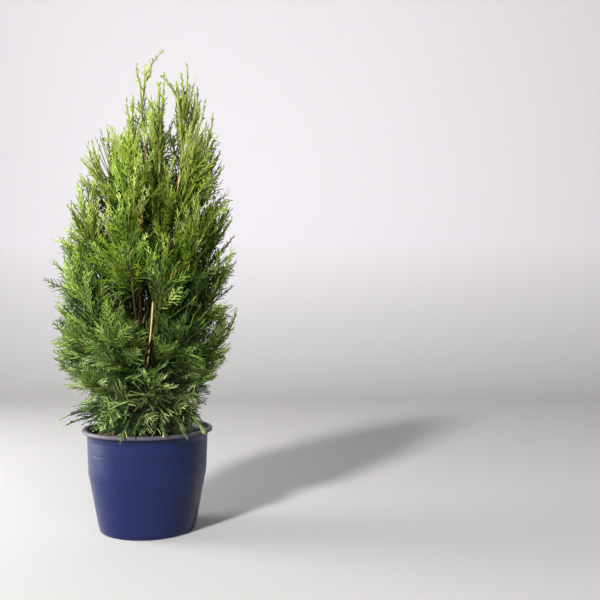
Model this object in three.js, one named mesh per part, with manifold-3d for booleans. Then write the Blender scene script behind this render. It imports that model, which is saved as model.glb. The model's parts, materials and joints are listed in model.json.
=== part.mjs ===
// A young thuja in a thin-walled nursery pot, about 0.7 m tall with its pot.
// Millimetres, +Z up. The origin is the middle of the pot's flat underside, +X is to the right
// and +Y away from someone who looks at the front.
import * as THREE from "three";
import { mergeVertices } from "three/addons/utils/BufferGeometryUtils.js";
import Module from "manifold-3d";

const gap = 0.3; // left between two pieces that meet

// Driving sizes of the pot: a 19 cm rim with a rolled lip, a nearly upright collar with a fine
// groove round it, and a tapering foot.
const pot = {
  height: 150,
  lipRadius: 95,
  lipHeight: 5.5,
  collarRadius: 88.5, // under the lip
  waistHeight: 87,
  waistRadius: 86,
  heelRadius: 70,
  heelRound: 4,
  grooveHeight: 117,
  grooveDepth: 0.8,
  wall: 1.6,
  segments: 32,
  drainHoles: 8,
  drainRadius: 5.5,
  drainRing: 50,
};

// Driving sizes of the potting mix, which is lumpy and slightly mounded round the stem.
const soil = {
  edgeHeight: 133,
  mound: 4,
  lump: 1.8,
  seatRadius: 25, // flat patch under the trunk
  rings: [0.5, 0.7, 0.9],
};

// Driving sizes of the trunk: it leans a little to the right as it rises.
const trunk = {
  footX: -12.5,
  lean: 9, // to the right at the top
  sway: 4,
  top: 566,
  flareRadius: 8.5,
  flareHeight: 14,
  footRadius: 5.2,
  topRadius: 1.5,
  sides: 10,
  steps: 12,
};

// Driving sizes of the crown's outline, round an axis that leans further than the trunk.
const crown = {
  top: 709,
  axisFoot: -10,
  axisLean: 45,
  widestHeight: 335,
  widestRadius: 130,
  shoulder: 2.2, // how late the outline turns in towards the top
  point: 0.85,
  skirtShare: 0.25, // how much narrower the crown is at the pot's rim
};

// The tiers of plumes up the trunk. A plume leaves the trunk at "from" and its tip is at "to".
// "out" is the share of its reach where its stem turns up, "lift" is how much of its height it has
// gained there, "bough" the share of its length that is a bare limb, and "roll" how far its sprays
// turn up from a plane along the crown's surface.
const tiers = [
  { name: "skirt", count: 7, from: 160, to: 184, turn: 12, out: 0.6, lift: 0.8, bough: 0, roll: 10 },
  { name: "low", count: 7, from: 178, to: 246, turn: 38, out: 0.8, lift: 0.34, bough: 0, roll: 25 },
  { name: "lower", count: 7, from: 203, to: 326, turn: 7, out: 0.84, lift: 0.32, bough: 0, roll: 25 },
  { name: "middle", count: 6, from: 232, to: 412, turn: 58, out: 0.86, lift: 0.36, bough: 0, roll: 25 },
  { name: "upper", count: 6, from: 262, to: 496, turn: 28, out: 0.84, lift: 0.42, bough: 0.34, roll: 20 },
  { name: "high", count: 5, from: 322, to: 584, turn: 36, out: 0.86, lift: 0.5, bough: 0.38, roll: 15 },
];
const jitter = { height: 9, turn: 6, reach: 0.04 };
const stagger = { stems: 24, boughs: 40 }; // how far up the trunk one tier's limbs are spread

// The leaders beside the trunk's own top, each from its height on the trunk to its tip.
const leaders = [
  { name: "front", from: 152, bend: [26, -52, 330], tip: [20, -30, 668], bough: 0.42 },
  { name: "right", from: 296, bend: [58, -2, 460], tip: [60, 2, 690], bough: 0.48 },
  { name: "left", from: 380, bend: [-34, 22, 530], tip: [-17, 14, 690], bough: 0.46 },
  { name: "top", from: 566, bend: [0, 3, 640], tip: [20, 0, 706], bough: 0 },
];

// The stems and the flat toothed sprays that they carry.
const stem = { sides: 3, baseRadius: 2.4, tipRadius: 1.1, segmentLength: 40 };
const bough = { sides: 6, baseRadius: 3.6, shareOfTrunk: 0.78, segmentLength: 26 };
const spray = {
  spacing: 19.2, // along the stem
  firstAt: 0.24,
  length: 88,
  tipLength: 58,
  endLength: 60, // the spray that carries the stem on to its tip
  width: 0.44, // half the spray's width as a share of its length
  notch: 0.15, // the same between two teeth
  thickness: 0.9, // half of it, at the middle rib
  teeth: 3,
  openBase: 52,
  openTip: 30,
  roll: 60,
  turns: [0, 30, -30, 60, -60], // other rolls tried for the one that fills the most space
  toothSizes: [1.15, 1, 0.85, 0.7, 0.55, 0.4],
  tests: [1, 0.8, 0.6, 0.4], // shares of a rib or tooth that are tested for its own space
  smallest: 0.5,
};
const clear = 1.2; // kept between a spray and the space of the next plume
const fringe = 4; // how far a tooth may stand out of the crown's outline

const radians = THREE.MathUtils.degToRad;
const lerp = THREE.MathUtils.lerp;

// Numbers from 0 to 1 that are the same each run.
function randomFrom(seed) {
  let state = seed;
  return () => (state = (state * 16807) % 2147483647) / 2147483647;
}

const wasm = await Module();
wasm.setup();

// A geometry as a solid that can be joined and cut.
function solidOf(geometry) {
  const bare = geometry.index ? geometry.toNonIndexed() : geometry.clone();
  for (const name of Object.keys(bare.attributes)) {
    if (name !== "position") bare.deleteAttribute(name);
  }
  const merged = mergeVertices(bare, 1e-4);
  const faces = [];
  const index = merged.index.array;
  for (let i = 0; i < index.length; i += 3) {
    const [a, b, c] = index.slice(i, i + 3);
    if (a !== b && b !== c && c !== a) faces.push(a, b, c);
  }
  return new wasm.Manifold(
    new wasm.Mesh({
      numProp: 3,
      vertProperties: merged.attributes.position.array,
      triVerts: new Uint32Array(faces),
    }),
  );
}

function geometryOf(solid) {
  const mesh = solid.getMesh();
  const geometry = new THREE.BufferGeometry();
  geometry.setAttribute("position", new THREE.BufferAttribute(mesh.vertProperties, 3));
  geometry.setIndex(new THREE.BufferAttribute(mesh.triVerts, 1));
  return geometry.toNonIndexed();
}

// Pot

function potWallRadius(height) {
  if (height >= pot.waistHeight) {
    const share = (height - pot.waistHeight) / (pot.height - pot.waistHeight);
    return lerp(pot.waistRadius, pot.collarRadius, share);
  }
  return lerp(pot.heelRadius, pot.waistRadius, height / pot.waistHeight);
}

function potGeometry() {
  const lipUnder = pot.height - pot.lipHeight;
  const inside = (height) => potWallRadius(height) - pot.wall;
  const groove = [-1.4, -0.5, 0.5, 1.4].map((shift, step) => {
    const deep = step === 1 || step === 2 ? pot.grooveDepth : 0;
    return [potWallRadius(pot.grooveHeight + shift) - deep, pot.grooveHeight + shift];
  });
  const profile = [
    [0, 0],
    [pot.heelRadius - pot.heelRound, 0],
    [potWallRadius(pot.heelRound), pot.heelRound],
    [pot.waistRadius, pot.waistHeight],
    ...groove,
    [potWallRadius(lipUnder), lipUnder],
    [pot.lipRadius - 1.2, lipUnder],
    [pot.lipRadius, lipUnder + 1.6],
    [pot.lipRadius, pot.height - 1.8],
    [pot.lipRadius - 2, pot.height],
    [pot.collarRadius + 1, pot.height],
    [inside(pot.height - 3), pot.height - 3],
    [inside(pot.waistHeight), pot.waistHeight],
    [inside(pot.heelRound), pot.heelRound + pot.wall],
    [pot.heelRadius - pot.heelRound - 1, pot.wall],
    [0, pot.wall],
  ].map(([radius, height]) => new THREE.Vector2(radius, height));
  const shell = new THREE.LatheGeometry(profile, pot.segments).rotateX(Math.PI / 2);
  let body = solidOf(shell);
  for (let hole = 0; hole < pot.drainHoles; hole += 1) {
    const angle = (2 * Math.PI * (hole + 0.5)) / pot.drainHoles;
    const drill = new THREE.CylinderGeometry(pot.drainRadius, pot.drainRadius, 4 * pot.wall, 10)
      .rotateX(Math.PI / 2)
      .translate(pot.drainRing * Math.cos(angle), pot.drainRing * Math.sin(angle), pot.wall / 2);
    body = body.subtract(solidOf(drill));
  }
  return geometryOf(body);
}

// Soil

const soilTop = soil.edgeHeight + soil.mound;

function soilGeometry() {
  const inside = (height) => potWallRadius(height) - pot.wall - gap;
  const edge = inside(soil.edgeHeight);
  const profile = [
    [0, pot.wall + gap],
    [pot.heelRadius - pot.heelRound - 3, pot.wall + gap],
    [inside(pot.heelRound) - 1, pot.heelRound + pot.wall + 1],
    [inside(pot.waistHeight), pot.waistHeight],
    [edge, soil.edgeHeight],
  ];
  for (const share of [...soil.rings].reverse()) {
    profile.push([edge * share, soilTop - soil.mound * share ** 2]);
  }
  profile.push([soil.seatRadius, soilTop], [0, soilTop]);
  const points = profile.map(([radius, height]) => new THREE.Vector2(radius, height));
  const geometry = new THREE.LatheGeometry(points, pot.segments).rotateX(Math.PI / 2);
  geometry.deleteAttribute("normal");
  geometry.deleteAttribute("uv");
  const merged = mergeVertices(geometry, 1e-4);
  const place = merged.attributes.position;
  const random = randomFrom(77);
  for (let i = 0; i < place.count; i += 1) {
    const radius = Math.hypot(place.getX(i), place.getY(i));
    const onTop = place.getZ(i) > soil.edgeHeight + 0.01 && radius > soil.seatRadius + 1;
    if (onTop) place.setZ(i, place.getZ(i) + (random() - 0.5) * 2 * soil.lump);
  }
  return merged.toNonIndexed();
}

// Limbs

function trunkAt(height) {
  const share = (height - soilTop) / (trunk.top - soilTop);
  const x = trunk.footX + trunk.lean * share ** 3;
  const y = trunk.sway * Math.sin(Math.PI * share);
  return new THREE.Vector3(x, y, height);
}

function trunkRadius(height) {
  const share = (height - soilTop) / (trunk.top - soilTop);
  const flare = Math.exp(-(height - soilTop) / trunk.flareHeight);
  const plain = lerp(trunk.footRadius, trunk.topRadius, share);
  return plain + (trunk.flareRadius - trunk.footRadius) * flare;
}

// A closed tapering limb: a lathe turned about its own length and then bent to follow "at".
function limbGeometry({ at, aside, radius, from, to, sides, steps }) {
  const profile = [new THREE.Vector2(0, 0)];
  for (let step = 0; step <= steps; step += 1) {
    profile.push(new THREE.Vector2(1, step / steps));
  }
  profile.push(new THREE.Vector2(0, 1));
  const geometry = new THREE.LatheGeometry(profile, sides);
  const place = geometry.attributes.position;
  for (let i = 0; i < place.count; i += 1) {
    const t = lerp(from, to, place.getY(i));
    const along = at(Math.min(t + 0.01, 1.01)).sub(at(t - 0.01)).normalize();
    const up = new THREE.Vector3().crossVectors(along, aside).normalize();
    const across = new THREE.Vector3().crossVectors(up, along);
    const point = at(t)
      .addScaledVector(across, place.getX(i) * radius(t))
      .addScaledVector(up, -place.getZ(i) * radius(t));
    place.setXYZ(i, point.x, point.y, point.z);
  }
  return geometry;
}

// The trunk, or the space that it needs when "grow" is more than 0.
function trunkGeometry(grow = 0) {
  const low = soilTop + gap;
  const length = trunk.top - low;
  const height = (t) => lerp(low, trunk.top, t);
  const geometry = limbGeometry({
    at: (t) => trunkAt(height(t)),
    aside: new THREE.Vector3(0, 1, 0),
    radius: (t) => trunkRadius(height(t)) + grow / Math.cos(Math.PI / trunk.sides),
    from: -grow / length,
    to: 1 + grow / length,
    sides: trunk.sides,
    steps: trunk.steps,
  });
  const place = geometry.attributes.position;
  for (let i = 0; i < place.count; i += 1) {
    if (place.getZ(i) < low + 1) place.setZ(i, low - grow); // the flat cut at ground level
  }
  return geometry;
}

// A limb that starts inside what carries it, cut back to leave the gap; the part outside is kept.
function seated(limb, carriers) {
  const outside = carriers.reduce((rest, carrier) => rest.subtract(carrier), limb);
  return outside.decompose().sort((a, b) => b.volume() - a.volume())[0];
}

// Crown

function crownAxis(height) {
  const share = (height - pot.height) / (crown.top - pot.height);
  return new THREE.Vector3(crown.axisFoot + crown.axisLean * share ** 2, 0, height);
}

function crownRadius(height) {
  if (height < crown.widestHeight) {
    const below = (crown.widestHeight - height) / (crown.widestHeight - pot.height);
    return crown.widestRadius * (1 - crown.skirtShare * below ** 2);
  }
  const above = Math.min(1, (height - crown.widestHeight) / (crown.top - crown.widestHeight));
  return crown.widestRadius * (1 - above ** crown.shoulder) ** crown.point;
}

// The curve of one plume of a tier, from the trunk to its tip on the crown's outline.
function tierCurve(tier, number, random) {
  const turn = radians(tier.turn + (360 / tier.count) * number + (random() - 0.5) * 2 * jitter.turn);
  const tipHeight = tier.to + (random() - 0.5) * 2 * jitter.height;
  const reach = crownRadius(tipHeight) * (1 + (random() - 0.5) * 2 * jitter.reach);
  const out = new THREE.Vector3(Math.cos(turn), Math.sin(turn), 0);
  const spread = tier.bough ? stagger.boughs : stagger.stems;
  const start = trunkAt(tier.from + (spread * ((2 * number) % tier.count)) / tier.count);
  const tip = crownAxis(tipHeight).addScaledVector(out, reach);
  const bend = start.clone().lerp(tip, tier.out);
  bend.z = lerp(start.z, tipHeight, tier.lift);
  return new THREE.QuadraticBezierCurve3(start, bend, tip);
}

// A plume: its curve, the direction across it, and the share of it where its limb starts, clear of
// the trunk and of the stems that stand beside it.
function plumeOn(curve, { name, bough: share, roll = 0 }, random, beside = []) {
  const length = curve.getLength();
  const run = curve.v2.clone().sub(curve.v0);
  const aside = new THREE.Vector3(-run.y, run.x, 0).normalize();
  const onTrunk = bough.shareOfTrunk * trunkRadius(curve.v0.z);
  const radius = Math.min(share ? bough.baseRadius : stem.baseRadius, onTrunk);
  const touches = (point) =>
    touchesTrunk(point, radius) ||
    beside.some((limb) => distanceToPlume(point, limb) < bough.baseRadius + radius + gap);
  let limbStart = 0.4;
  while (limbStart > 0 && !touches(curve.getPoint(limbStart))) limbStart -= 0.2 / length;
  limbStart = Math.max(0, limbStart + 0.2 / length);
  const samples = [];
  for (let step = 0; step <= 12; step += 1) {
    samples.push(curve.getPoint(lerp(limbStart, 1, step / 12)));
  }
  const at = (t) => curve.getPoint(t);
  const from = share || limbStart;
  return { name, at, aside, length, random, radius, limbStart, samples, roll, bough: share, from };
}

function crownPlumes() {
  const plumes = leaders.map((leader, number) => {
    const [bend, tip] = [leader.bend, leader.tip].map((place) => new THREE.Vector3(...place));
    const curve = new THREE.QuadraticBezierCurve3(trunkAt(leader.from), bend, tip);
    return plumeOn(curve, leader, randomFrom(4999 + 31 * number));
  });
  const beside = [plumes[0]];
  tiers.forEach((tier, level) => {
    for (let number = 0; number < tier.count; number += 1) {
      const random = randomFrom(1009 + 97 * level + 13 * number);
      const curve = tierCurve(tier, number, random);
      plumes.push(plumeOn(curve, { ...tier, name: `${tier.name}_${number + 1}` }, random, beside));
    }
  });
  return plumes;
}

// Whether the end of a limb of this radius comes nearer to the trunk than the gap.
function touchesTrunk(point, radius) {
  if (point.z > trunk.top + gap) return false;
  const height = Math.min(point.z, trunk.top);
  return trunkAt(height).distanceTo(point) < trunkRadius(height - radius) + radius + gap;
}

function distanceToPlume(point, plume) {
  let least = Infinity;
  const nearest = new THREE.Vector3();
  for (let i = 1; i < plume.samples.length; i += 1) {
    const piece = new THREE.Line3(plume.samples[i - 1], plume.samples[i]);
    least = Math.min(least, piece.closestPointToPoint(point, true, nearest).distanceTo(point));
  }
  return least;
}

// A point keeps to its plume's space where it is inside the crown's outline, clear of the trunk and
// the pot, and nearer to that plume's stem than to any other.
function inOwnSpace(point, plume, plumes) {
  const fromAxis = crownAxis(point.z).distanceTo(point);
  const isLeader = plume.samples.at(-1).z > crown.top - 60;
  if (!isLeader && fromAxis > crownRadius(point.z) + fringe) return false;
  const height = Math.min(Math.max(point.z, soilTop), trunk.top);
  if (trunkAt(height).distanceTo(point) < trunkRadius(height) + clear) return false;
  const fromMiddle = Math.hypot(point.x, point.y);
  const floor = fromMiddle < pot.waistRadius - 6 ? soilTop + soil.lump : pot.height;
  if (fromMiddle < pot.lipRadius + clear && point.z < floor + clear) return false;
  const own = distanceToPlume(point, plume);
  const least = Math.max(own + 2 * clear, bough.baseRadius + clear);
  return plumes.every((other) => other === plume || distanceToPlume(point, other) > least);
}

// A flat toothed spray: a middle rib with a tooth for each side twig, thickest along the rib. Each
// tooth is as long as its plume's space allows.
function sprayPoints(length, fits) {
  const pitch = 0.8 / spray.teeth;
  const ribAt = (tooth) => length * (0.12 + pitch * tooth);
  const side = (sign, shift) => {
    const points = [[ribAt(shift - 0.2), (sign * spray.notch * length) / 2, 0]];
    for (let tooth = 0; tooth < spray.teeth; tooth += 1) {
      const full = length * spray.width * (1 - 0.62 * ((tooth + shift) / spray.teeth) ** 1.4);
      const root = ribAt(tooth + shift);
      const tipAt = (size) => [root + (pitch * length) / 2 + 0.45 * size * full, sign * size * full, 0];
      const size = spray.toothSizes.find((choice) => fits([root, 0, 0], tipAt(choice))) ?? 0.25;
      const notch = spray.notch * length * size * (1 - tooth / 4);
      points.push(tipAt(size), [ribAt(tooth + 0.8 + shift * 0.8), sign * notch, 0]);
    }
    return points;
  };
  const rib = [];
  for (let tooth = 0; tooth < spray.teeth; tooth += 1) {
    rib.push([ribAt(tooth + 0.28), 0, spray.thickness * (1 - 0.2 * tooth)]);
  }
  return { root: [0, 0, 0], tip: [length, 0, 0], left: side(1, 0), right: side(-1, 0.4), rib };
}

function sprayGeometry(points, place) {
  const corners = [];
  const triangle = (a, b, c, turned) => corners.push(...(turned ? [a, c, b] : [a, b, c]));
  const face = (level, edge, turned) => {
    const rib = points.rib.map(([s, w, thick]) => [s, w, level * thick]);
    triangle(points.root, rib[0], edge[0], turned);
    rib.forEach((middle, tooth) => {
      triangle(middle, edge[2 * tooth + 1], edge[2 * tooth], turned);
      triangle(middle, edge[2 * tooth + 2], edge[2 * tooth + 1], turned);
      const next = rib[tooth + 1] ?? points.tip;
      triangle(middle, next, edge[2 * tooth + 2], turned);
    });
  };
  face(1, points.left, false);
  face(1, points.right, true);
  face(-1, points.left, true);
  face(-1, points.right, false);
  const flat = corners.flatMap((corner) => place(corner).toArray());
  const geometry = new THREE.BufferGeometry();
  geometry.setAttribute("position", new THREE.Float32BufferAttribute(flat, 3));
  return geometry;
}

// Where a spray grows: its root on the stem, its direction, and the direction across its blade.
function sprayPlace(plume, t, side, open, roll) {
  const root = plume.at(t);
  const along = plume.at(Math.min(1, t + 0.01)).sub(plume.at(t - 0.01)).normalize();
  const up = new THREE.Vector3().crossVectors(along, plume.aside).normalize();
  const out = plume.aside.clone().multiplyScalar(side * Math.cos(roll));
  out.addScaledVector(up, Math.sin(roll)).normalize();
  const ahead = along.clone().multiplyScalar(Math.cos(open)).addScaledVector(out, Math.sin(open));
  const over = out.clone().multiplyScalar(Math.cos(open)).addScaledVector(along, -Math.sin(open));
  const normal = new THREE.Vector3().crossVectors(ahead, over);
  return ([s, w, h]) =>
    root.clone().addScaledVector(ahead, s).addScaledVector(over, w).addScaledVector(normal, h);
}

function plumeSprays(plume, plumes) {
  const { random } = plume;
  const stemEnd = 1 - spray.endLength / plume.length;
  const start = Math.max(plume.from, spray.firstAt);
  const count = Math.round(((stemEnd - start) * plume.length) / spray.spacing);
  const found = [];
  for (let number = 0; number <= count; number += 1) {
    const share = number / count;
    const t = lerp(start, stemEnd, share) + (number ? 0 : 0.02);
    const last = number === count;
    const side = number % 2 ? 1 : -1;
    const open = last ? 0 : radians(lerp(spray.openBase, spray.openTip, share) + 12 * (random() - 0.5));
    const roll = plume.roll + spray.roll * 2 * (random() - 0.5);
    const full = last ? spray.endLength : lerp(spray.length, spray.tipLength, share);
    const choices = spray.turns.map((extra) => {
      const place = sprayPlace(plume, t, side, open, radians(roll + extra));
      return largestSpray(place, full, last, (from, to) =>
        spray.tests.every((part) => {
          const [s, w] = [lerp(from[0], to[0], part), lerp(from[1], to[1], part)];
          return inOwnSpace(place([s, w, 0]), plume, plumes);
        }),
      );
    });
    const best = choices.reduce((most, choice) => (choice.area > most.area ? choice : most));
    if (best.area > 0) found.push(sprayGeometry(best.points, best.place));
  }
  return found;
}

// The longest spray that fits here, and the area that its teeth give it; the last one always fits.
function largestSpray(place, full, last, fits) {
  for (let size = 1; size >= spray.smallest; size -= 0.1) {
    const length = full * size;
    if (last || fits([0, 0, 0], [length, 0, 0])) {
      const points = sprayPoints(length, fits);
      const area = length * points.left.concat(points.right).reduce((sum, [, w]) => sum + Math.abs(w), 0);
      return { place, points, area };
    }
  }
  return { area: 0 };
}

function plumeGeometry(plume, plumes, carriers) {
  const stemEnd = 1 - (spray.endLength - 6) / plume.length;
  const start = plume.bough ? plume.bough + gap / plume.length : 0;
  const baseRadius = plume.bough ? boughRadius(plume, 1) : plume.radius;
  const stemPiece = limbGeometry({
    at: plume.at,
    aside: plume.aside,
    radius: (t) => lerp(baseRadius, stem.tipRadius, (t - start) / (stemEnd - start)),
    from: start,
    to: stemEnd,
    sides: stem.sides,
    steps: Math.round(((stemEnd - start) * plume.length) / stem.segmentLength),
  });
  let whole = solidOf(stemPiece);
  for (const blade of plumeSprays(plume, plumes)) whole = whole.add(solidOf(blade));
  return geometryOf(seated(whole, plume.bough ? [] : carriers));
}

function boughRadius(plume, share) {
  return lerp(plume.radius, Math.min(stem.baseRadius, 0.9 * plume.radius), share);
}

// A bough, or the space that it needs when "grow" is more than 0.
function boughGeometry(plume, grow = 0) {
  return limbGeometry({
    at: plume.at,
    aside: plume.aside,
    radius: (t) => boughRadius(plume, t / plume.bough) + grow / Math.cos(Math.PI / bough.sides),
    from: 0,
    to: plume.bough + grow / plume.length,
    sides: bough.sides,
    steps: Math.round((plume.bough * plume.length) / bough.segmentLength),
  });
}

// Colours and finishes
const finish = {
  pot: new THREE.MeshStandardMaterial({ color: 0x26306f, roughness: 0.42, metalness: 0 }),
  soil: new THREE.MeshStandardMaterial({ color: 0x3b261b, roughness: 0.95, metalness: 0 }),
  bark: new THREE.MeshStandardMaterial({ color: 0x8a5a32, roughness: 0.85, metalness: 0 }),
  foliage: new THREE.MeshStandardMaterial({ color: 0x6f8f2c, roughness: 0.6, metalness: 0 }),
};

const plant = new THREE.Group();
function addPiece(name, geometry, material) {
  const mesh = new THREE.Mesh(geometry, material);
  mesh.name = name;
  plant.add(mesh);
}

addPiece("pot", potGeometry(), finish.pot);
addPiece("soil", soilGeometry(), finish.soil);
addPiece("trunk", trunkGeometry(), finish.bark);
const plumes = crownPlumes();
const carriers = [solidOf(trunkGeometry(gap)), solidOf(boughGeometry(plumes[0], gap))];
plumes.forEach((plume, number) => {
  if (plume.bough) {
    const below = number ? carriers : carriers.slice(0, 1); // the first bough is a carrier itself
    const limb = seated(solidOf(boughGeometry(plume)), below);
    addPiece(`bough_${plume.name}`, geometryOf(limb), finish.bark);
  }
  addPiece(`plume_${plume.name}`, plumeGeometry(plume, plumes, carriers), finish.foliage);
});

export default plant;
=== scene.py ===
import math

import bpy
import numpy as np
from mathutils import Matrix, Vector, noise
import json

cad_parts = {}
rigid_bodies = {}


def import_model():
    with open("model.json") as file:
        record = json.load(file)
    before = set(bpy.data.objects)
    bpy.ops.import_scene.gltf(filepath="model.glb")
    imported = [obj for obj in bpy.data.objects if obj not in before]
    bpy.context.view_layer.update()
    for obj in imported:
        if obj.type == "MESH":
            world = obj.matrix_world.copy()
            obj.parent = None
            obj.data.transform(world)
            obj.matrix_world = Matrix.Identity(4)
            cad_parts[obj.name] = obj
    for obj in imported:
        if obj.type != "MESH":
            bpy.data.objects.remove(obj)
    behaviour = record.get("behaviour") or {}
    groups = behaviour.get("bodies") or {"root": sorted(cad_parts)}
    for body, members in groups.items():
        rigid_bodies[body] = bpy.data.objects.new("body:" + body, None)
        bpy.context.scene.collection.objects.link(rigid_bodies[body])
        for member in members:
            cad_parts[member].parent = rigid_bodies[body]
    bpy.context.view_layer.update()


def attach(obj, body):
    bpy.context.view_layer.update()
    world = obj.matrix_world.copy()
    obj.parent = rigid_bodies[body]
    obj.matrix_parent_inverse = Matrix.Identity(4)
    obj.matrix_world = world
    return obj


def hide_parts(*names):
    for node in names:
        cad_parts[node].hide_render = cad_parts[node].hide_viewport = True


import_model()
mm = 0.001  # sizes below are in millimetres unless a note says otherwise, and meshes are in metres


# Small helpers for meshes, materials and node trees

def lerp(first, second, share):
    return first + (second - first) * share


def unit(way):
    return way / np.linalg.norm(way)


# Points of an arc, between angles in degrees.
def arc(middleX, middleY, radius, start, end, steps):
    turns = [math.radians(lerp(start, end, step / steps)) for step in range(steps + 1)]
    return [(middleX + radius * math.cos(turn), middleY + radius * math.sin(turn)) for turn in turns]


def toned(colour, factor):
    return tuple(min(1, c * factor) for c in colour)


def linked(name, data):
    thing = bpy.data.objects.new(name, data)
    bpy.context.collection.objects.link(thing)
    return thing


def meshObject(name, places, faces, smooth=True):
    data = bpy.data.meshes.new(name)
    data.from_pydata([tuple(p) for p in places], [], [tuple(f) for f in faces])
    data.update()
    if smooth:
        data.shade_smooth()
    return linked(name, data)


def evaluatedMesh(thing):
    graph = bpy.context.evaluated_depsgraph_get()
    return bpy.data.meshes.new_from_object(thing.evaluated_get(graph), depsgraph=graph)


def remove(thing):
    data = thing.data
    bpy.data.objects.remove(thing)
    bpy.data.meshes.remove(data)


# The shapes that a tree picks from wait in a group.
def newGroup(name):
    group = bpy.data.collections.new(name)
    bpy.context.scene.collection.children.link(group)
    return group


def moveInto(group, shape):
    bpy.context.collection.objects.unlink(shape)
    group.objects.link(shape)


def removeGroup(group):
    for thing in list(group.objects):
        remove(thing)
    bpy.data.collections.remove(group)


def finishPiece(piece, nodes):
    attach(piece, "root")
    if nodes:
        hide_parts(*nodes)


# A node tree that grows by short calls, each of which gives one output of the new node.
class Nodes:

    def __init__(self, tree):
        self.tree = tree

    def add(self, kind, inputs=None, take=0, **settings):
        node = self.tree.nodes.new(kind)
        for key, value in settings.items():
            setattr(node, key, value)
        for key, value in (inputs or {}).items():
            self.join(value, node.inputs[key])
        return node.outputs[take]

    def join(self, value, socket):
        if isinstance(value, bpy.types.NodeSocket):
            self.tree.links.new(value, socket)
        elif socket.type == "RGBA" and len(value) == 3:
            socket.default_value = (*value, 1)
        else:
            socket.default_value = value

    def calc(self, operation, first, second=0.0):
        return self.add("ShaderNodeMath", {0: first, 1: second}, operation=operation)

    def range(self, value, low, high, start=0.0, end=1.0):
        inputs = {"Value": value, "From Min": low, "From Max": high, "To Min": start, "To Max": end}
        return self.add("ShaderNodeMapRange", inputs)


# A new material with its surface.
class Shader(Nodes):

    def __init__(self, name, colour=None, roughness=0.6, specular=0.5):
        self.material = bpy.data.materials.new(name)
        self.material.use_nodes = True
        super().__init__(self.material.node_tree)
        self.surface = self.tree.nodes["Principled BSDF"].inputs
        self.surface["Roughness"].default_value = roughness
        self.surface["Specular IOR Level"].default_value = specular
        if colour:
            self.colour(colour)

    def place(self):
        return self.add("ShaderNodeTexCoord", take="Object")

    def height(self):
        return self.add("ShaderNodeSeparateXYZ", {"Vector": self.place()}, take="Z")

    def noiseAt(self, where, scale, detail=3.0, rough=0.55):
        inputs = {"Vector": where, "Scale": scale, "Detail": detail, "Roughness": rough}
        return self.add("ShaderNodeTexNoise", inputs)

    def ramp(self, value, *stops):
        made = self.add("ShaderNodeValToRGB", {"Fac": value})
        band = made.node.color_ramp
        while len(band.elements) < len(stops):
            band.elements.new(0.5)
        for element, (position, colour) in zip(band.elements, stops):
            element.position = position
            element.color = (*colour, 1)
        return made

    def mix(self, factor, first, second):
        inputs = {"Factor": factor, 6: first, 7: second}  # 6 and 7 are its A and B for colours
        return self.add("ShaderNodeMix", inputs, take=2, data_type="RGBA")

    def colour(self, value):
        self.join(value, self.surface["Base Color"])

    def bump(self, height, depth, strength):
        inputs = {"Height": height, "Distance": depth, "Strength": strength}
        self.join(self.add("ShaderNodeBump", inputs), self.surface["Normal"])


# A Geometry Nodes tree with named inputs.
class Shapes(Nodes):

    def __init__(self, name, inputs):
        super().__init__(bpy.data.node_groups.new(name, "GeometryNodeTree"))
        self.sockets = {}
        sides = self.tree.interface
        sides.new_socket("Geometry", in_out="INPUT", socket_type="NodeSocketGeometry")
        for label, kind in inputs.items():
            made = sides.new_socket(label, in_out="INPUT", socket_type=f"NodeSocket{kind}")
            self.sockets[label] = made.identifier
        sides.new_socket("Geometry", in_out="OUTPUT", socket_type="NodeSocketGeometry")
        self.entry = self.tree.nodes.new("NodeGroupInput").outputs
        self.exit = self.tree.nodes.new("NodeGroupOutput").inputs[0]

    def attribute(self, label, kind="FLOAT_VECTOR"):
        return self.add("GeometryNodeInputNamedAttribute", {"Name": label}, data_type=kind)

    # Sets shapes of the group on the points.
    def setShapes(self, points, rotation, scale, more):
        shapes = self.add("GeometryNodeCollectionInfo", {
            "Collection": self.entry["Shapes"], "Separate Children": True, "Reset Children": True})
        made = self.add("GeometryNodeInstanceOnPoints", {
            "Points": points, "Instance": shapes, "Pick Instance": True, "Rotation": rotation, "Scale": scale,
            **more})
        self.end(made)

    def end(self, geometry):
        whole = self.add("GeometryNodeRealizeInstances", {"Geometry": geometry})
        inputs = {"Geometry": whole, "Material": self.entry["Material"]}
        self.join(self.add("GeometryNodeSetMaterial", inputs), self.exit)

    # Runs the tree on the seed object and returns the result as a plain mesh object.
    def grow(self, name, seed, values):
        live = seed.modifiers.new(name, "NODES")
        live.node_group = self.tree
        for label, value in values.items():
            live[self.sockets[label]] = value
        data = evaluatedMesh(seed)
        data.name = name
        seed.modifiers.remove(live)
        return linked(name, data)

    # The same as a finished piece, and the seed goes away.
    def growPiece(self, name, seed, values, slot, nodes):
        piece = self.grow(name, seed, values)
        remove(seed)
        finishPiece(piece, nodes)
        return piece


# Camera and light

camera = {
    "place": (225.6, -1232, 338),  # level, with the pot's axis in the left third of the picture
    "lens": 49.8,
}
studio = {
    "sky": (0.40, 0.09),  # strength on the left and on the right
    "skyColour": (1.0, 0.985, 0.975),
    "lights": {
        "key": {"place": (-1700, -3400, 2500), "size": 600, "watts": 400},
        "front": {"place": (2300, -3300, 1500), "size": 1500, "watts": 44},
        "window": {"place": (-1500, 150, 400), "size": 1100, "watts": 62},
    },
    "aim": (0, 0, 350),  # where the lights point
    "floorColour": (0.378, 0.370, 0.364),
    "wallColour": (0.550, 0.531, 0.556),
    "wallFrom": 600,  # height at which the floor's colour has gone over into the wall's
}


def addCamera():
    data = bpy.data.cameras.new("camera")
    data.lens = camera["lens"]
    data.clip_start = 0.01
    view = linked("camera", data)
    view.location = Vector(camera["place"]) * mm
    view.rotation_euler = (math.radians(90), 0, 0)
    bpy.context.scene.camera = view


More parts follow.
